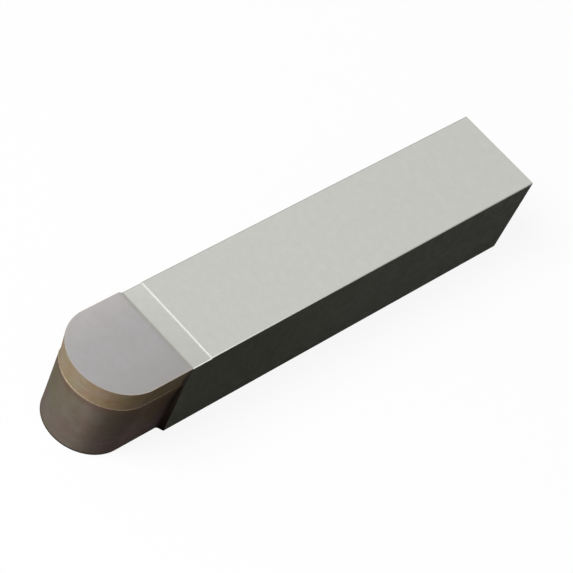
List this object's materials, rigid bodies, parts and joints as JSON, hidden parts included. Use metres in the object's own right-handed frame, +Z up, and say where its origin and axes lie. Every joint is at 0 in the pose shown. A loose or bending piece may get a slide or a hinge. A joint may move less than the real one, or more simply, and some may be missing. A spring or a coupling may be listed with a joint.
{
  "type": "brazed carbide tool bit",
  "caption": "Square steel lathe tool shank with a full-radius carbide tip brazed into a seat at its relieved nose.",
  "frame": {"origin": "middle of the underside of the whole tool's box", "axes": "+X along the shank towards the cutting nose, +Z up from the underside to the clamping face"},
  "size_m": [0.1142, 0.0194, 0.0192],
  "materials": {
    "shank_steel": "pale satin ground and blasted steel, heat tinted brown at the nose",
    "braze": "thin line of braze metal, lightly polished",
    "carbide": "fine ground tungsten carbide, grey top and straw tinted flank"
  },
  "bodies": {
    "root": {"shank": "shank_steel", "braze_layer": "braze", "carbide_tip": "carbide"}
  },
  "joints": []
}
